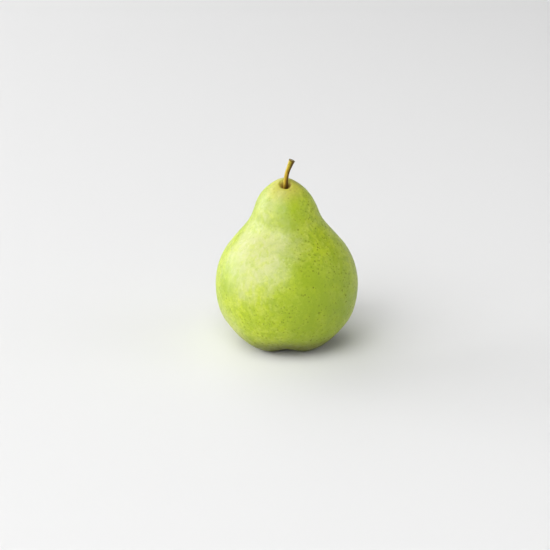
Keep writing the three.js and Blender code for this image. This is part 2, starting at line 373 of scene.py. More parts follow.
class Nodes:
    """Adds nodes to a tree. A value given for an input may be another node's output."""

    def __init__(self, tree):
        self.tree = tree

    def add(self, kind, inputs=None, **settings):
        node = self.tree.nodes.new(kind)
        for setting, value in settings.items():
            setattr(node, setting, value)
        for socket, value in (inputs or {}).items():
            if isinstance(value, bpy.types.NodeSocket):
                self.link(value, node, socket)
            else:
                node.inputs[socket].default_value = value
        return node

    def link(self, value, node, socket):
        self.tree.links.new(value, node.inputs[socket])

    def math(self, operation, *values):
        return self.add("ShaderNodeMath", dict(enumerate(values)), operation=operation).outputs[0]

    def product(self, a, b):
        return self.math("MULTIPLY", a, b)

    def distance(self, a, b):
        node = self.add("ShaderNodeVectorMath", {0: a, 1: b}, operation="DISTANCE")
        return node.outputs["Value"]

    def field(self, name):
        """A number that each point of the mesh carries, for a material."""
        return self.add("ShaderNodeAttribute", attribute_name=name).outputs["Fac"]

    def mesh_field(self, name):
        """The same for a Geometry Nodes tree."""
        return self.add(
            "GeometryNodeInputNamedAttribute", {"Name": name}, data_type="FLOAT"
        ).outputs[0]

    def random(self, seed, low, high):
        """A number drawn for each point."""
        return self.add(
            "FunctionNodeRandomValue", {2: low, 3: high, "Seed": seed}, data_type="FLOAT"
        ).outputs[1]

    def bump(self, shader, height, strength, distance):
        """Gives a surface fine bumps."""
        node = self.add(
            "ShaderNodeBump", {"Strength": strength, "Distance": distance, "Height": height}
        )
        self.link(node.outputs[0], shader, "Normal")

    def mapped(self, vector, scale, rotation=(0.0, 0.0, 0.0)):
        return self.add(
            "ShaderNodeMapping", {"Vector": vector, "Rotation": rotation, "Scale": scale}
        ).outputs[0]

    def scale(self, vector, factor):
        node = self.add("ShaderNodeVectorMath", {"Scale": factor, 0: vector}, operation="SCALE")
        return node.outputs[0]

    def span(self, value, low, high, to_low=0.0, to_high=1.0):
        """Eases from one number to another while a value goes from low to high."""
        return self.add(
            "ShaderNodeMapRange",
            {
                "Value": value, "From Min": low, "From Max": high,
                "To Min": to_low, "To Max": to_high,
            },
            interpolation_type="SMOOTHSTEP",
        ).outputs[0]

    def noise(self, vector, scale, detail=2.0, roughness=0.5, seed=0.0, distortion=0.0):
        """Soft noise, mostly between 0.3 and 0.7."""
        return self.add(
            "ShaderNodeTexNoise",
            {
                "Vector": vector, "W": seed, "Scale": scale, "Detail": detail,
                "Roughness": roughness, "Distortion": distortion,
            },
            noise_dimensions="4D",
        ).outputs[0]

    def mix(self, factor, a, b):
        """Mixes two colours. A plain colour has three numbers."""
        full = lambda c: c if isinstance(c, bpy.types.NodeSocket) else (*c, 1.0)
        return self.add(
            "ShaderNodeMix", {0: factor, 6: full(a), 7: full(b)},
            data_type="RGBA", clamp_factor=True,
        ).outputs[2]


def new_material(name, roughness, sockets):
    """A material with its surface shader, ready for the rest of its nodes."""
    material = bpy.data.materials.new(name)
    material.use_nodes = True
    material.node_tree.nodes.clear()
    nodes = Nodes(material.node_tree)
    shader = nodes.add("ShaderNodeBsdfPrincipled", {"Roughness": roughness, **sockets})
    nodes.add("ShaderNodeOutputMaterial", {"Surface": shader.outputs[0]})
    return material, nodes, shader


def geometry_tree(name, inputs):
    """A Geometry Nodes tree with a geometry in and out, and named inputs between."""
    tree = bpy.data.node_groups.new(name, "GeometryNodeTree")
    tree.is_modifier = True
    tree.interface.new_socket("Geometry", in_out="INPUT", socket_type="NodeSocketGeometry")
    tree.interface.new_socket("Geometry", in_out="OUTPUT", socket_type="NodeSocketGeometry")
    for label, kind in inputs.items():
        tree.interface.new_socket(label, in_out="INPUT", socket_type="NodeSocket" + kind)
    nodes = Nodes(tree)
    return tree, nodes, nodes.add("NodeGroupInput").outputs


def pushed(nodes, geometry, distance):
    """Moves a surface along its normals."""
    offset = nodes.scale(nodes.add("GeometryNodeInputNormal").outputs[0], distance)
    moved = nodes.add("GeometryNodeSetPosition", {"Geometry": geometry, "Offset": offset})
    return moved.outputs[0]


def finish_tree(nodes, geometry, material):
    """Ends a tree with real geometry that carries the material."""
    smooth = nodes.add("GeometryNodeSetShadeSmooth", {"Geometry": geometry})
    real = nodes.add("GeometryNodeRealizeInstances", {"Geometry": smooth.outputs[0]})
    painted = nodes.add(
        "GeometryNodeSetMaterial", {"Geometry": real.outputs[0], "Material": material}
    )
    nodes.add("NodeGroupOutput", {0: painted.outputs[0]})


def apply_tree(made, tree, **values):
    """Runs the tree on the object and keeps the result as its plain mesh."""
    modifier = made.modifiers.new(tree.name, "NODES")
    modifier.node_group = tree
    labels = {label.replace("_", " ").capitalize(): value for label, value in values.items()}
    for item in tree.interface.items_tree:
        if item.in_out == "INPUT" and item.name in labels:
            modifier[item.identifier] = labels.pop(item.name)
    if labels:
        raise ValueError(f"{tree.name} has no input named {sorted(labels)}")
    graph = bpy.context.evaluated_depsgraph_get()
    mesh = bpy.data.meshes.new_from_object(
        made.evaluated_get(graph), preserve_all_data_layers=True, depsgraph=graph
    )
    made.modifiers.remove(modifier)
    old = made.data
    made.data = mesh
    bpy.data.meshes.remove(old)
    mesh.name = made.name


def keep(made, slot, *nodes):
    """Fixes a finished piece to the pear and hides the CAD nodes it stands for. The slot is not
    used.
    """
    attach(made, "root")
    if nodes:
        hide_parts(*nodes)


# ---- The fruit ----

# Middle of the pale cheek, partly the skin's own cream and partly a painted sheen. Heights count
# for less in the distance from it, so it is tall.
CHEEK = (-0.0180, -0.0235, 0.0608)
CHEEK_HEIGHT = 0.8
# Distances between which the cheek fades in, how ragged they are, and its strength.
CHEEK_EDGE = (0.029, 0.008)
CHEEK_RAGGED = 0.03
CHEEK_STRENGTH = 0.84
# Greener places: middle, reach, the distance where it is full, and its strength. The first is
# painted shade as well as deeper green, low on the flank away from the light; the last is painted
# shade on the brightest lit part of the left bulge.
GREENER_AND_SHADED = (
    ((0.020, -0.031, 0.030), 0.034, 0.012, 0.95),
    ((0.012, -0.034, 0.0505), 0.011, 0.003, 0.6),
    ((0.003, -0.022, 0.0795), 0.016, 0.007, 0.72),
    ((-0.0300, -0.0190, 0.0440), 0.015, 0.005, 0.5),
)
# Painted light: paler places where the sheen falls on the shoulder and the neck, and where light
# bounces up low on the flank, with the same four values.
PAINTED_LIGHT_PATCHES = (
    ((0.001, -0.023, 0.0620), 0.014, 0.004, 0.35),
    ((-0.0150, -0.0140, 0.0800), 0.018, 0.006, 0.5),
    ((-0.0290, -0.0140, 0.0130), 0.018, 0.006, 0.4),
)
# Two kinds of dots: cells in one dot spacing, shift of the cells, spread of the radius, strength.
DOTS = ((1.0, 0.0, 0.13, 1.0), (1.45, 0.4, 0.16, 0.85))
DOT_RADIUS = 0.15  # of the smallest dots, as a share of their cell
DOT_HALO = (2.3, 0.9)  # where the green round a dot starts and is full, in its radii
DOT_SPOT = (1.5, 0.3)  # the same for the dot itself
# Painted shade on the underside, olive and darker round the feet: the distances from the calyx
# where each starts and is full, its strength, the places from side to side between which it grows
# to that, and its share before them.
UNDERSIDE_SHADE = (
    ("shaded_under", 0.0435, 0.0275, 0.85, -0.030, -0.008, 0.6),
    ("deep", 0.041, 0.024, 0.48, -0.024, -0.006, 0.15),
)
# Heights above the floor, and distances from the stem, over which the skin's relief grows.
RELIEF_FROM_FLOOR = (0.0005, 0.006)
RELIEF_FROM_STEM = (0.004, 0.011)


def skin_material(settings):
    """Waxy yellow-green skin with soft mottles, olive dots, and russet in both hollows. A pale
    cheek carries a painted sheen, and the underside and one flank carry painted shade.
    """
    material, nodes, shader = new_material("Pear skin", 0.44, {
        "Subsurface Weight": 0.12, "Subsurface Scale": 0.003,
        "Subsurface Radius": (1.0, 0.8, 0.2), "Specular IOR Level": 0.43,
        "Coat Weight": 0.06, "Coat Roughness": 0.3,
    })
    place = nodes.add("ShaderNodeTexCoord").outputs["Object"]
    from_stem, from_calyx = nodes.field("from_stem"), nodes.field("from_calyx")
    sideways = nodes.add("ShaderNodeSeparateXYZ", {0: place}).outputs[0]
    drawn = nodes.mapped(place, (1.0, 1.0, 0.6))

    # Broad patches of green, soft green and pale mottles, and fine grain.
    patches = nodes.span(nodes.noise(place, 42, 2.5, 0.55, 3.1, 0.6), 0.46, 0.68)
    mottles = nodes.span(nodes.noise(place, 250, 3.0, 0.62, 1.7, 0.8), 0.44, 0.6)
    grain = nodes.span(nodes.noise(place, 900, 2.0, 0.6, 5.2), 0.3, 0.7)
    tone = nodes.mix(nodes.product(patches, 0.6), settings.ground, settings.green)
    mottles = nodes.product(mottles, nodes.span(sideways, -0.03, 0.01, 0.6, 0.75))
    tone = nodes.mix(mottles, tone, settings.green)
    light = nodes.span(nodes.noise(place, 140, 3.5, 0.6, 8.3, 1.0), 0.48, 0.7)
    tone = nodes.mix(nodes.product(light, 0.5), tone, settings.pale)
    flecks = nodes.span(nodes.noise(place, 480, 2.0, 0.6, 9.1, 0.6), 0.5, 0.68)
    tone = nodes.mix(nodes.product(flecks, 0.5), tone, settings.pale)
    tone = nodes.mix(nodes.product(grain, 0.38), tone, settings.green)

    def near(middle, reach, full, strength):
        """Grows from 0 at its reach to its strength near the middle."""
        return nodes.span(nodes.distance(place, middle), reach, full, 0.0, strength)

    # A paler, warmer cheek on the lit shoulder, partly the skin's own cream and partly a painted
    # sheen, with a ragged edge, painted light patches, and brushed marks that are partly scuffs and
    # partly painted sheen.
    cheek_middle = (CHEEK[0], CHEEK[1], CHEEK[2] * CHEEK_HEIGHT)
    from_cheek = nodes.distance(nodes.mapped(place, (1.0, 1.0, CHEEK_HEIGHT)), cheek_middle)
    ragged = nodes.math("SUBTRACT", nodes.noise(drawn, 110, 4.0, 0.6, 6.6, 0.8), 0.5)
    ragged = nodes.math("MULTIPLY_ADD", ragged, CHEEK_RAGGED, from_cheek)
    cheek_and_sheen = nodes.span(ragged, *CHEEK_EDGE, 0.0, CHEEK_STRENGTH)
    streaks = nodes.span(nodes.noise(place, 210, 4.0, 0.6, 4.4, 1.0), 0.34, 0.6, 0.5, 1.0)
    for patch in PAINTED_LIGHT_PATCHES:
        cheek_and_sheen = nodes.math("MAXIMUM", cheek_and_sheen, near(*patch))
    tone = nodes.mix(nodes.product(cheek_and_sheen, streaks), tone, settings.cheek_and_sheen)
    brushed = nodes.mapped(place, (1.0, 1.0, 0.4), rotation=(0.0, 0.55, 0.0))
    scuffs_and_sheen = nodes.span(nodes.noise(brushed, 430, 3.0, 0.55, 5.5, 0.3), 0.55, 0.72, 0.0, 0.5)
    tone = nodes.mix(nodes.product(cheek_and_sheen, scuffs_and_sheen), tone, settings.scuff_and_sheen)

    # Greener places, each broken up by blots; two of them are painted shade.
    blots = nodes.span(nodes.noise(drawn, 150, 3.0, 0.6, 7.7, 0.6), 0.4, 0.6, 0.6, 1.0)
    for patch in GREENER_AND_SHADED:
        tone = nodes.mix(nodes.product(near(*patch), blots), tone, settings.green)

    # Dots in two sizes, each with its own strength. They thin out in places, and fade under the
    # painted sheen on the cheek and towards the lit side.
    crowd = nodes.span(nodes.noise(place, 130, 2.0, 0.5, 2.4), 0.36, 0.6, 0.45, 1.0)
    corky = 0.0
    shown = nodes.product(crowd, nodes.span(from_cheek, 0.014, 0.034, 0.25, 1.0))
    shown = nodes.product(shown, nodes.span(sideways, -0.025, 0.015, 0.6, 1.0))
    for scale, shift, spread, strength in DOTS:
        moved = nodes.add("ShaderNodeVectorMath", {0: place, 1: (shift, shift, shift)}).outputs[0]
        cells = nodes.add(
            "ShaderNodeTexVoronoi",
            {"Vector": moved, "Scale": scale / settings.dot_spacing, "Randomness": 0.95},
        )
        chance = nodes.add("ShaderNodeSeparateColor", {0: cells.outputs["Color"]})
        size = nodes.math("MULTIPLY_ADD", chance.outputs[0], spread, DOT_RADIUS)
        away = nodes.math("DIVIDE", cells.outputs["Distance"], size)
        power = nodes.product(shown, nodes.span(chance.outputs[1], 0.25, 0.8, 0.0, strength))
        halo = nodes.product(nodes.span(away, *DOT_HALO), power)
        tone = nodes.mix(nodes.product(halo, 0.35), tone, settings.green)
        spot = nodes.product(nodes.span(away, *DOT_SPOT), power)
        tone = nodes.mix(spot, tone, settings.dot)
        corky = nodes.math("MAXIMUM", spot, corky)

    # Painted shade: olive underneath, darkest round the feet, and less on the lit flank.
    for colour_name, start, full, strength, flank, middle, share in UNDERSIDE_SHADE:
        low = nodes.span(from_calyx, start, full, 0.0, strength)
        low = nodes.product(low, nodes.span(sideways, flank, middle, share, 1.0))
        tone = nodes.mix(low, tone, getattr(settings, colour_name))

    # Yellow to tan round the stem, brown inside its cavity, and the same round the calyx.
    wander = nodes.math("SUBTRACT", nodes.noise(place, 300, 3.0, 0.6), 0.5)
    wander = nodes.product(wander, 0.004)
    rim, rim_width, inside_width = 0.006, 0.0018, 0.0016
    for distance, halo, inside in ((from_stem, 0.0165, 0.0038), (from_calyx, 0.013, 0.0035)):
        way = nodes.math("ADD", distance, wander)
        tone = nodes.mix(nodes.span(way, halo, rim, 0.0, 0.52), tone, settings.tan)
        tone = nodes.mix(nodes.span(way, rim, rim - rim_width, 0.0, 0.8), tone, settings.tan)
        russet = nodes.span(way, inside, inside - inside_width, 0.0, 0.95)
        tone = nodes.mix(russet, tone, settings.russet)

    nodes.link(tone, shader, "Base Color")
    # Waxy between the dots, dull on them.
    gloss = nodes.span(nodes.noise(place, 420, 3.0, 0.6, 6.0), 0.3, 0.7, 0.36, 0.52)
    nodes.link(nodes.math("MULTIPLY_ADD", corky, 0.4, gloss), shader, "Roughness")
    nodes.bump(shader, nodes.noise(place, 620, 3.0, 0.55, 2.0), 0.5, 0.00025)
    return material


def skin_tree():
    """Swellings and dimples over the skin, which fade out at the foot and in the stem cavity."""
    tree, nodes, given = geometry_tree("Pear skin relief", {
        "Swelling height": "Float", "Swelling size": "Float", "Dimple height": "Float",
        "Dimple size": "Float", "Seed": "Float", "Material": "Material",
    })
    place = nodes.add("GeometryNodeInputPosition").outputs[0]
    height = nodes.add("ShaderNodeSeparateXYZ", {0: place}).outputs[2]

    def bumps(size, tall, detail, seed):
        """Bumps of a width, up to about a height either way."""
        wave = nodes.noise(place, nodes.math("DIVIDE", 1.0, size), detail, 0.5, seed)
        return nodes.product(nodes.math("SUBTRACT", wave, 0.5), nodes.product(tall, 2.0))

    dimple_seed = nodes.math("ADD", given["Seed"], 7.0)
    out = nodes.math(
        "ADD",
        bumps(given["Swelling size"], given["Swelling height"], 1.0, given["Seed"]),
        bumps(given["Dimple size"], given["Dimple height"], 2.0, dimple_seed),
    )
    out = nodes.product(out, nodes.span(height, *RELIEF_FROM_FLOOR))
    out = nodes.product(out, nodes.span(nodes.mesh_field("from_stem"), *RELIEF_FROM_STEM))
    finish_tree(nodes, pushed(nodes, given["Geometry"], out), given["Material"])
    return tree


def skin_places(step):
    """Places along the outline about one step apart, closer together where the fruit is thin."""
    fine_per_span = 200
    added_radius, full_radius, least_share = 3.0, 26.0, 0.22
    fine = np.linspace(0, SPANS, SPANS * fine_per_span + 1)
    radius, height, _, _ = outline_at(fine)
    way = distance_along(np.stack([radius, height], axis=1))
    share = np.clip((np.abs(radius) + added_radius) / full_radius, least_share, 1.0)
    count_so_far = np.concatenate([[0.0], np.cumsum(np.diff(way) / (step * share[1:]))])
    rings = int(count_so_far[-1])
    return np.interp(np.linspace(0, count_so_far[-1], rings + 1), count_so_far, fine)


class PEAR_OT_fruit(bpy.types.Operator):
    """Grow the fruit in its skin"""

    bl_idname = "pear.fruit"
    bl_label = "Fruit"

    def execute(self, context):
        settings = context.scene.pear_fruit
        step = settings.mesh_step / MM
        places = skin_places(step)
        sides = int(2 * math.pi * BELLY_RADIUS / step)
        points = skin_points(places, turns(sides), settings)
        way = distance_along(np.stack(outline_at(places)[:2], axis=1)) * MM
        spread = np.concatenate([way[:1], np.repeat(way[1:-1], sides), way[-1:]])
        mesh = closed_skin(
            "fruit_skin", points[0, 0], points[1:-1], points[-1, 0],
            from_calyx=spread, from_stem=way[-1] - spread,
        )
        skin = piece("fruit_skin", mesh)
        apply_tree(
            skin, skin_tree(),
            swelling_height=settings.swelling_height, swelling_size=settings.swelling_size,
            dimple_height=settings.dimple_height, dimple_size=settings.dimple_size,
            seed=4.0, material=skin_material(settings),
        )
        keep(skin, "skin", "fruit")
        return {"FINISHED"}


# ---- The stem ----


def cavity(settings):
    """The middle of the stem cavity's floor and the direction it faces, in millimetres."""
    floor = skin_points([SPANS], [0.0], settings)[0, 0]
    to_x, to_y = math.cos(LEAN_TOWARDS), math.sin(LEAN_TOWARDS)
    tilt = settings.lean
    return floor, np.array([to_x * math.sin(tilt), to_y * math.sin(tilt), math.cos(tilt)])


def stem_material(settings):
    """Ochre bark with an olive end, dark in its furrows and rim, with a painted highlight down one
    side and painted shade on the other and at the foot. The cut end is pale.
    """
    material, nodes, shader = new_material("Pear stem bark", 0.58, {"Specular IOR Level": 0.25})
    place = nodes.add("ShaderNodeTexCoord").outputs["Object"]
    along, ridge, core, turn = (nodes.field(name) for name in ("along", "ridge", "core", "turn"))
    stretched = nodes.mapped(place, (1.0, 1.0, 0.22))
    streaks = nodes.span(nodes.noise(stretched, 1500, 3.0, 0.6), 0.35, 0.7)
    tone = nodes.mix(nodes.span(along, 0.66, 0.86, 0.0, 0.85), settings.bark, settings.olive)
    tone = nodes.mix(nodes.product(streaks, 0.3), tone, settings.dark)
    tone = nodes.mix(nodes.span(ridge, 0.0, -1.0, 0.0, 0.4), tone, settings.dark)
    # Painted light: a pale gold highlight down one side, and painted shade in dark brown on the
    # other, most of all at the foot.
    side = nodes.math("ADD", nodes.math("COSINE", turn), nodes.product(streaks, 0.3))
    tone = nodes.mix(nodes.span(side, -0.15, -0.9, 0.0, 0.8), tone, settings.highlight_gold)
    tone = nodes.mix(nodes.span(side, -0.15, 0.5, 0.0, 0.9), tone, settings.dark)
    foot = nodes.product(nodes.span(along, 0.42, 0.2), nodes.span(side, -0.7, 0.1, 0.15, 0.85))
    tone = nodes.mix(foot, tone, settings.dark)
    # Pale flecks, then the dark rim of the cut end, its pale wood and its dark core.
    flecks = nodes.span(nodes.noise(place, 2600, 1.0, 0.5, 3.0), 0.68, 0.78, 0.0, 0.5)
    tone = nodes.mix(flecks, tone, settings.cut)
    tone = nodes.mix(nodes.span(along, 0.955, 0.99, 0.0, 0.75), tone, settings.dark)
    tone = nodes.mix(nodes.span(core, 0.15, 0.4, 0.0, 0.85), tone, settings.cut)
    tone = nodes.mix(nodes.span(core, 0.75, 0.95, 0.0, 0.6), tone, settings.dark)
    nodes.link(tone, shader, "Base Color")
    nodes.bump(shader, nodes.noise(stretched, 3200, 2.0), 0.35, 0.0002)
    return material


def stem_tree():
    """Lengthwise ridges and small bumps on the bark, and a rough cut end."""
    tree, nodes, given = geometry_tree("Pear stem relief", {
        "Ridge depth": "Float", "Bark height": "Float", "Seed": "Float", "Material": "Material",
    })
    place = nodes.add("GeometryNodeInputPosition").outputs[0]
    turn = nodes.mesh_field("turn")
    waves_round, waves_along = 1.5, 2.2
    round_about = nodes.add("ShaderNodeCombineXYZ", {
        0: nodes.product(nodes.math("COSINE", turn), waves_round),
        1: nodes.product(nodes.math("SINE", turn), waves_round),
        2: nodes.product(nodes.mesh_field("along"), waves_along),
    }).outputs[0]
    wave = nodes.noise(round_about, 1.0, 2.0, 0.5, given["Seed"])
    ridge = nodes.product(nodes.math("SUBTRACT", wave, 0.5), 4.0)
    stored = nodes.add(
        "GeometryNodeStoreNamedAttribute",
        {"Geometry": given["Geometry"], "Name": "ridge", "Value": ridge},
        data_type="FLOAT", domain="POINT",
    )
    bumps = nodes.math("SUBTRACT", nodes.noise(place, 1400, 3.0, 0.6, given["Seed"]), 0.5)
    out = nodes.math(
        "ADD",
        nodes.product(ridge, given["Ridge depth"]),
        nodes.product(bumps, nodes.product(given["Bark height"], 2.0)),
    )
    finish_tree(nodes, pushed(nodes, stored.outputs[0], out), given["Material"])
    return tree


class PEAR_OT_stem(bpy.types.Operator):
    """Grow the woody stem out of its cavity"""

    bl_idname = "pear.stem"
    bl_label = "Stem"

    def execute(self, context):
        settings = context.scene.pear_stem
        floor, up = cavity(context.scene.pear_fruit)
        tip = floor + np.array(STEM_REACH)
        path = (
            floor - up * STEM_ROOT,
            floor + up * (STEM_BASE_PULL - STEM_ROOT),
            tip + np.array(STEM_TIP_PULL),
            tip,
        )
        sides, count = 56, 150
        share = np.linspace(0, 1, count)
        radius = settings.radius / MM + STEM_BASE_SWELLING * (1 - share) ** 3
        radius = radius + STEM_TIP_SWELLING * share**8
        place, along = bezier(path, share)

        # The cut end: a rounded rim, then rings down into a shallow hollow.
        rim = np.array([0.985, 0.95, 0.88, 0.75, 0.6, 0.45, 0.3, 0.15])
        sink = np.array([0.03, 0.05, 0.03, -0.1, -0.2, -0.28, -0.33, -0.35])
        place = np.concatenate([place, place[-1] + along[-1] * sink[:, None]])
        along = np.concatenate([along, np.repeat(along[-1:], len(rim), axis=0)])
        radius = np.concatenate([radius, radius[-1] * rim])
        rings = rod_rings(place, along, np.array([1.0, 0.0, 0.0]), radius, radius, sides)

        turn = np.tile(turns(sides), len(place))
        length_share = np.repeat(np.concatenate([share, np.ones(len(rim))]), sides)
        core = np.repeat(np.concatenate([np.zeros(len(share)), 1 - rim]), sides)
        mesh = closed_skin(
            "stem_bark", place[0], rings, place[-1],
            turn=np.concatenate([[0.0], turn, [0.0]]),
            along=np.concatenate([[0.0], length_share, [1.0]]),
            core=np.concatenate([[0.0], core, [1.0]]),
        )
        stem = piece("stem_bark", mesh)
        apply_tree(
            stem, stem_tree(),
            ridge_depth=settings.ridge_depth, bark_height=settings.bark_height,
            seed=2.0, material=stem_material(settings),
        )
        keep(stem, "stem", "stem")
        return {"FINISHED"}


# ---- The calyx ----


def calyx_material(settings):
    """Dry flower parts: dark brown feet and grey-brown tips."""
    material, nodes, shader = new_material("Pear calyx", 0.85, {"Specular IOR Level": 0.25})
    place = nodes.add("ShaderNodeTexCoord").outputs["Object"]
    mottles = nodes.span(nodes.noise(place, 1400, 3.0, 0.65), 0.35, 0.7, 0.0, 0.5)
    tone = nodes.mix(nodes.span(nodes.field("along"), 0.15, 1.0), settings.dark, settings.dry)
    tone = nodes.mix(mottles, tone, settings.dark)
    nodes.link(tone, shader, "Base Color")
    nodes.bump(shader, nodes.noise(place, 2500, 3.0), 0.5, 0.0002)
    return material


def crinkled(nodes, geometry, height, seed):
    """Moves the surface in and out by small creases."""
    place = nodes.add("GeometryNodeInputPosition").outputs[0]
    wave = nodes.math("SUBTRACT", nodes.noise(place, 900, 3.0, 0.6, seed), 0.5)
    return pushed(nodes, geometry, nodes.product(wave, nodes.product(height, 2.0)))


def finish_copies(nodes, given, points, rotation, size, seed):
    """Ends a tree with copies of its geometry at the points, creased together."""
    copies = nodes.add("GeometryNodeInstanceOnPoints", {
        "Points": points, "Instance": given["Geometry"], "Rotation": rotation, "Scale": size,
    }).outputs[0]
    real = nodes.add("GeometryNodeRealizeInstances", {"Geometry": copies}).outputs[0]
    finish_tree(nodes, crinkled(nodes, real, given["Crease height"], seed), given["Material"])


def ring_tree():
    """Copies of one sepal in a ring, each a little different, then creased."""
    tree, nodes, given = geometry_tree("Pear sepal ring", {
        "Count": "Int", "Turn": "Float", "Crease height": "Float", "Seed": "Int",
        "Material": "Material",
    })
    index = nodes.add("GeometryNodeInputIndex").outputs[0]
    points = nodes.add("GeometryNodePoints", {"Count": given["Count"]}).outputs[0]
    step = nodes.math("DIVIDE", 2 * math.pi, given["Count"])
    turn = nodes.math("ADD", nodes.product(index, step), given["Turn"])

    def vary(low, high, shift):
        return nodes.random(nodes.math("ADD", given["Seed"], shift), low, high)

    size = nodes.add("ShaderNodeCombineXYZ", {
        0: vary(0.9, 1.1, 1.0), 1: vary(0.9, 1.1, 2.0), 2: vary(0.85, 1.1, 3.0),
    }).outputs[0]
    spin = nodes.add("ShaderNodeCombineXYZ", {
        0: vary(-0.12, 0.12, 4.0), 1: 0.0, 2: nodes.math("ADD", turn, vary(-0.08, 0.08, 5.0)),
    }).outputs[0]
    rotation = nodes.add("FunctionNodeEulerToRotation", {0: spin}).outputs[0]
    finish_copies(nodes, given, points, rotation, size, 3.0)
    return tree


def tuft_tree():
    """Copies of one stamen, from the middle of the cup outwards, each leaning its own way."""
    tree, nodes, given = geometry_tree("Pear stamen tuft", {
        "Count": "Int", "Spread": "Float", "Lean": "Float", "Crease height": "Float",
        "Seed": "Int", "Material": "Material",
    })
    golden_angle = 2.399963
    index = nodes.add("GeometryNodeInputIndex").outputs[0]
    share = nodes.math("SQRT", nodes.math("DIVIDE", nodes.math("ADD", index, 0.5), given["Count"]))
    angle = nodes.product(index, golden_angle)
    outwards = nodes.add("ShaderNodeCombineXYZ", {
        0: nodes.math("COSINE", angle), 1: nodes.math("SINE", angle),
    }).outputs[0]
    root = nodes.scale(outwards, nodes.product(share, given["Spread"]))
    points = nodes.add("GeometryNodePoints", {"Count": given["Count"], "Position": root}).outputs[0]
    stray = nodes.add(
        "FunctionNodeRandomValue",
        {0: (-0.25, -0.25, 1.0), 1: (0.25, 0.25, 1.0), "Seed": given["Seed"]},
        data_type="FLOAT_VECTOR",
    ).outputs[0]
    lean = nodes.scale(outwards, nodes.product(share, given["Lean"]))
    towards = nodes.add("ShaderNodeVectorMath", {0: lean, 1: stray}).outputs[0]
    rotation = nodes.add(
        "FunctionNodeAlignRotationToVector", {"Vector": towards}, axis="Z"
    ).outputs[0]
    size = nodes.random(given["Seed"], 0.75, 1.1)
    finish_copies(nodes, given, points, rotation, size, 6.0)
    return tree


def along_field(count, sides):
    """0 at the foot of a rod and 1 at its tip, for every point."""
    return np.concatenate([[0.0], np.repeat(np.linspace(0, 1, count), sides), [1.0]])


def cup_mesh():
    """The cup that carries the sepals, opening upwards."""
    inner = CALYX_RADIUS - CALYX_WALL
    profile = np.array([
        (CALYX_RADIUS * 0.7, -CALYX_ROOT), (CALYX_RADIUS, -CALYX_ROOT * 0.5), (CALYX_RADIUS, 0.0),
        (CALYX_RADIUS, CALYX_RISE * 0.8), (CALYX_RADIUS - 0.15, CALYX_RISE),
        (inner + 0.15, CALYX_RISE), (inner, CALYX_RISE * 0.8), (inner - 0.3, 0.0), (0.5, -0.15),
    ])
    count, sides = 60, 64
    way = distance_along(profile)
    at = np.linspace(0, way[-1], count)
    radius, height = (np.interp(at, way, profile[:, i]) for i in (0, 1))
    angle = turns(sides)
    rings = np.stack([
        radius[:, None] * np.cos(angle), radius[:, None] * np.sin(angle),
        np.broadcast_to(height[:, None], (count, sides)),
    ], axis=-1)
    return closed_skin(
        "calyx_cup", (0, 0, -CALYX_ROOT), rings, (0, 0, -0.2),
        along=along_field(count, sides) * 0.3,
    )


def sepal_mesh(settings):
    """One sepal that rises from the cup's rim on the +X side and curls outwards."""
    root = np.array([CALYX_RADIUS - 0.5, 0.0, CALYX_RISE - 0.5])
    steps = ((0, 0, 0), (0, 0, 1.7), (1.0, 0, 2.8), (2.9, 0, 2.35))
    path = [root + np.array(step) for step in steps]
    count, sides = 36, 20
    share = np.linspace(0, 1, count)
    place, along = bezier(path, share)
    half_width = settings.sepal_width / MM / 2 * np.maximum(0.06, 1 - share**1.6)
    half_depth = settings.sepal_thickness / MM / 2 * (1 - 0.45 * share)
    rings = rod_rings(place, along, np.array([0.0, 1.0, 0.0]), half_width, half_depth, sides)
    edge = np.abs(np.cos(turns(sides)))[None, :, None] ** 2
    cupped = rings - np.array([0.0, 0.0, 1.0]) * edge * 0.25 * half_width[:, None, None]
    return closed_skin("calyx_sepals", place[0], cupped, place[-1], along=along_field(count, sides))


def stamen_mesh(settings):
    """One stamen along +Z with its dried head."""
    count, sides = 16, 8
    share = np.linspace(0, 1, count)
    long = settings.stamen_length / MM
    place = np.stack([0.18 * np.sin(3 * share), 0 * share, -0.5 + (long + 0.5) * share], axis=1)
    along = np.tile([0.0, 0.0, 1.0], (count, 1))
    radius = 0.17 - 0.06 * share + 0.26 * np.exp(-(((share - 0.92) / 0.07) ** 2))
    rings = rod_rings(place, along, np.array([1.0, 0.0, 0.0]), radius, radius, sides)
    return closed_skin(
        "calyx_stamens", place[0], rings, place[-1] + (0, 0, 0.12), along=along_field(count, sides)
    )


class PEAR_OT_calyx(bpy.types.Operator):
    """Set the dried flower parts in the basin underneath"""

    bl_idname = "pear.calyx"
    bl_label = "Calyx"

    def execute(self, context):
        settings = context.scene.pear_calyx
        material = calyx_material(settings)
        floor = skin_points([0.0], [0.0], context.scene.pear_fruit)[0, 0] * MM
        into_basin = Matrix.Translation(floor) @ Matrix.Rotation(math.pi, 4, "X")

        cup = piece("calyx_cup", cup_mesh())
        tree, nodes, given = geometry_tree(
            "Pear calyx cup", {"Crease height": "Float", "Material": "Material"}
        )
        creased = crinkled(nodes, given["Geometry"], given["Crease height"], 1.0)
        finish_tree(nodes, creased, given["Material"])
        apply_tree(cup, tree, crease_height=CUP_CREASES * MM, material=material)

        sepals = piece("calyx_sepals", sepal_mesh(settings))
        apply_tree(
            sepals, ring_tree(),
            count=settings.sepals, turn=SEPAL_TURN, crease_height=SEPAL_CREASES * MM, seed=5,
            material=material,
        )
        stamens = piece("calyx_stamens", stamen_mesh(settings))
        apply_tree(
            stamens, tuft_tree(),
            count=settings.stamens, spread=TUFT_SPREAD * MM, lean=TUFT_LEAN,
            crease_height=STAMEN_CREASES * MM, seed=8, material=material,
        )
        for made in (cup, sepals, stamens):
            made.data.transform(into_basin)
            keep(made, "calyx", "calyx")
        return {"FINISHED"}


# ---- The studio ----

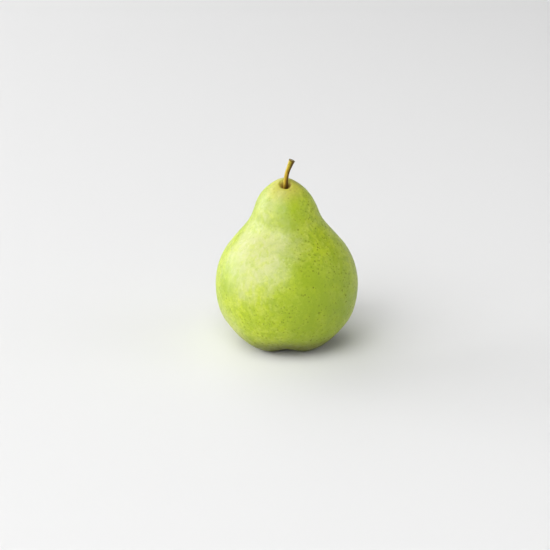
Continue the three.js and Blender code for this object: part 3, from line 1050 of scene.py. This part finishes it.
AIM_HEIGHT = 0.045
FLOOR_RADIUS = 16.0
# Far out the floor glows and runs into the horizon. Distances where that starts and is full.
GLOW_REACH = (1.2, 5.0)
GLOW_SHARE = 0.8  # of the horizon's brightness
# Upward parts of the view between which the air goes from the horizon's brightness to the sky's.
HORIZON_BAND = (0.12, 0.45)
LIGHT_DISTANCE = 3.2
# Each light's azimuth, elevation, width and height. The setting of the same name is its brightness.
LIGHTS = {
    "key": (-45, 36, 2.6, 2.0),
    "front": (-8, 34, 2.2, 2.0),
    "side": (-107, 15, 3.0, 1.7),
    "top": (-16, 60, 2.2, 2.0),
    "back": (-155, 36, 2.6, 2.0),
    "fill": (80, 30, 1.8, 1.8),
}


def soft_light(name, aim, azimuth, elevation, width, height, brightness):
    """A soft rectangular light. Its azimuth is counted from the camera's side, to the right."""
    azimuth, elevation = math.radians(azimuth), math.radians(elevation)
    towards = Vector((
        math.sin(azimuth) * math.cos(elevation), -math.cos(azimuth) * math.cos(elevation),
        math.sin(elevation),
    ))
    data = bpy.data.lights.new(name, "AREA")
    data.shape = "RECTANGLE"
    data.size, data.size_y = width, height
    data.energy = brightness * math.pi * width * height
    light = bpy.data.objects.new(name, data)
    light.location = aim + towards * LIGHT_DISTANCE
    light.rotation_euler = (-towards).to_track_quat("-Z", "Y").to_euler()
    bpy.context.scene.collection.objects.link(light)


class PEAR_OT_studio(bpy.types.Operator):
    """Set up the floor, the lights and the camera"""

    bl_idname = "pear.studio"
    bl_label = "Studio"

    def execute(self, context):
        settings = context.scene.pear_studio
        scene = context.scene
        bpy.ops.mesh.primitive_circle_add(vertices=96, radius=FLOOR_RADIUS, fill_type="NGON")
        floor = context.object
        floor.name = "studio_floor"
        material, nodes, shader = new_material("Studio floor", 0.9, {"Specular IOR Level": 0.1})
        shader.inputs["Base Color"].default_value = (*settings.floor, 1.0)
        place = nodes.add("ShaderNodeTexCoord").outputs["Object"]
        reach = nodes.add("ShaderNodeVectorMath", {0: place}, operation="LENGTH").outputs["Value"]
        glow = nodes.span(reach, *GLOW_REACH, 0.0, settings.horizon * GLOW_SHARE)
        shader.inputs["Emission Color"].default_value = (1.0, 1.0, 1.0, 1.0)
        nodes.link(glow, shader, "Emission Strength")
        floor.data.materials.append(material)

        world = bpy.data.worlds.new("Studio air")
        world.use_nodes = True
        air = Nodes(world.node_tree)
        background = world.node_tree.nodes["Background"]
        background.inputs["Color"].default_value = (1.0, 1.0, 1.0, 1.0)
        upwards = air.add(
            "ShaderNodeSeparateXYZ", {0: air.add("ShaderNodeTexCoord").outputs["Generated"]}
        ).outputs[2]
        bright = air.span(upwards, *HORIZON_BAND, settings.horizon, settings.sky)
        air.link(bright, background, "Strength")
        scene.world = world

        aim = Vector((0.0, 0.0, AIM_HEIGHT))
        for name, shape in LIGHTS.items():
            soft_light(f"studio_{name}", aim, *shape, getattr(settings, name))

        # The pear stands a little right of the frame's middle and above it.
        aside, above = -6.1 * MM, -7.0 * MM
        elevation = settings.elevation
        back = Vector((0.0, -math.cos(elevation), math.sin(elevation)))
        up = Vector((0.0, math.sin(elevation), math.cos(elevation)))
        data = bpy.data.cameras.new("studio_camera")
        data.lens = settings.lens
        camera = bpy.data.objects.new("studio_camera", data)
        camera.location = aim + Vector((aside, 0.0, 0.0)) + up * above + back * settings.distance
        camera.rotation_euler = (math.pi / 2 - elevation, 0.0, 0.0)
        scene.collection.objects.link(camera)
        scene.camera = camera
        scene.view_settings.view_transform = "Standard"
        return {"FINISHED"}


class PEAR_PT_panel(bpy.types.Panel):
    bl_idname = "PEAR_PT_panel"
    bl_label = "Pear"
    bl_space_type = "VIEW_3D"
    bl_region_type = "UI"
    bl_category = "Pear"

    def draw(self, context):
        for operator, group in GROUPS.items():
            settings = getattr(context.scene, group)
            box = self.layout.box()
            box.operator(operator)
            for name in settings.bl_rna.properties.keys():
                if name not in ("rna_type", "name"):
                    box.prop(settings, name)


GROUPS = {
    "pear.fruit": "pear_fruit",
    "pear.stem": "pear_stem",
    "pear.calyx": "pear_calyx",
    "pear.studio": "pear_studio",
}
SETTINGS = {
    "pear_fruit": PearFruitSettings,
    "pear_stem": PearStemSettings,
    "pear_calyx": PearCalyxSettings,
    "pear_studio": PearStudioSettings,
}
CLASSES = (
    *SETTINGS.values(),
    PEAR_OT_fruit, PEAR_OT_stem, PEAR_OT_calyx, PEAR_OT_studio, PEAR_PT_panel,
)


def register():
    for made in CLASSES:
        bpy.utils.register_class(made)
    for name, group in SETTINGS.items():
        setattr(bpy.types.Scene, name, PointerProperty(type=group))


def unregister():
    for name in SETTINGS:
        delattr(bpy.types.Scene, name)
    for made in reversed(CLASSES):
        bpy.utils.unregister_class(made)


def main():
    register()
    bpy.ops.pear.fruit()
    bpy.ops.pear.stem()
    bpy.ops.pear.calyx()
    bpy.ops.pear.studio()


if __name__ == "__main__":
    main()
